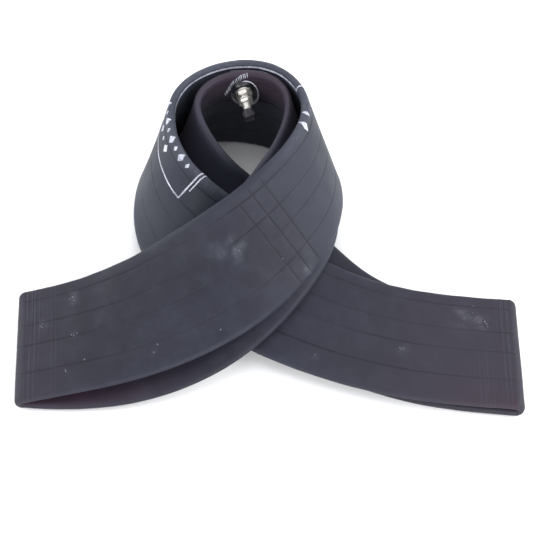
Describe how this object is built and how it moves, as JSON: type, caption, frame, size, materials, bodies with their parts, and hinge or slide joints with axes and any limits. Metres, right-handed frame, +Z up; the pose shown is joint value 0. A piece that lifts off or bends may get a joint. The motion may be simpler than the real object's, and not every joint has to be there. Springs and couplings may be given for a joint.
{
  "type": "inner tube",
  "caption": "Heavy-duty off-road inner tube, pressed flat, folded double and looped over itself, with a metal valve, nuts, valve core and dust cap.",
  "frame": {"origin": "on the surface that the tube lies on, under the middle of its box", "axes": "+X from the left fold to the right fold, +Y towards the back of the loop, +Z up"},
  "size_m": [0.4232, 0.2924, 0.1223],
  "materials": {
    "tube_rubber": "smooth black butyl rubber with a faint bluish bloom, moulded vent lines and dusty scuffs",
    "base_rubber": "smooth glossy moulded black rubber",
    "nickel_plate": "bright nickel-plated brass with a slightly warm tint",
    "cap_plastic": "semi-matt black moulded plastic with fine grip ribs",
    "seal_rubber": "matt black rubber",
    "core_brass": "turned brass",
    "core_seal": "white fluoropolymer ring",
    "spring_steel": "drawn stainless wire",
    "cup_rubber": "red-brown moulded rubber"
  },
  "bodies": {
    "tube_and_stem": {"tube": "tube_rubber", "valve_base": "base_rubber", "valve_stem": "nickel_plate"},
    "base_washer": {"base_washer": "nickel_plate"},
    "base_nut": {"base_nut": "nickel_plate"},
    "rim_washer": {"rim_washer": "nickel_plate"},
    "rim_nut": {"rim_nut": "nickel_plate"},
    "cap_seal": {"cap_seal": "seal_rubber"},
    "cap": {"cap_shell": "cap_plastic"},
    "core_barrel": {"core_barrel": "core_brass", "core_barrel_seal": "core_seal", "core_spring": "spring_steel"},
    "core_plug": {"core_plug": "core_brass"},
    "core_pin": {"core_pin": "core_brass", "core_cup": "core_brass", "core_cup_seal": "cup_rubber"}
  },
  "joints": [
    {"name": "base_nut_travel", "type": "slide", "parent": "tube_and_stem", "child": "base_washer", "axis": [0.2109, -0.9642, -0.1607], "range_m": [0, 0.001]},
    {"name": "base_nut_turn", "type": "hinge", "parent": "base_washer", "child": "base_nut", "pos_m": [-0.02178, 0.12833, 0.08293], "axis": [0.2109, -0.9642, -0.1607], "range_deg": [0, 455]},
    {"name": "rim_nut_travel", "type": "slide", "parent": "tube_and_stem", "child": "rim_washer", "axis": [0.2109, -0.9642, -0.1607], "range_m": [-0.0012, 0.0032]},
    {"name": "rim_nut_turn", "type": "hinge", "parent": "rim_washer", "child": "rim_nut", "pos_m": [-0.02178, 0.12833, 0.08293], "axis": [0.2109, -0.9642, -0.1607], "range_deg": [-546, 1453]},
    {"name": "cap_travel", "type": "slide", "parent": "tube_and_stem", "child": "cap_seal", "axis": [0.2109, -0.9642, -0.1607], "range_m": [0, 0.0035]},
    {"name": "cap_turn", "type": "hinge", "parent": "cap_seal", "child": "cap", "pos_m": [-0.02178, 0.12833, 0.08293], "axis": [0.2109, -0.9642, -0.1607], "range_deg": [0, 1589]},
    {"name": "core_travel", "type": "slide", "parent": "tube_and_stem", "child": "core_barrel", "axis": [0.2109, -0.9642, -0.1607], "range_m": [0, 0.001]},
    {"name": "core_turn", "type": "hinge", "parent": "core_barrel", "child": "core_plug", "pos_m": [-0.02178, 0.12833, 0.08293], "axis": [0.2109, -0.9642, -0.1607], "range_deg": [0, 511]},
    {"name": "core_pin_press", "type": "slide", "parent": "core_barrel", "child": "core_pin", "axis": [-0.2109, 0.9642, 0.1607], "range_m": [0, 0.0012], "stiffness_N_per_m": 800, "springref_m": -0.002, "deforming": ["core_spring"]}
  ],
  "couplings": [
    {"joint": "base_nut_turn", "follows": "base_nut_travel", "rad_per_m": 7915.8},
    {"joint": "rim_nut_turn", "follows": "rim_nut_travel", "rad_per_m": 7915.8},
    {"joint": "cap_turn", "follows": "cap_travel", "rad_per_m": 7915.8},
    {"joint": "core_turn", "follows": "core_travel", "rad_per_m": 8904.7}
  ]
}
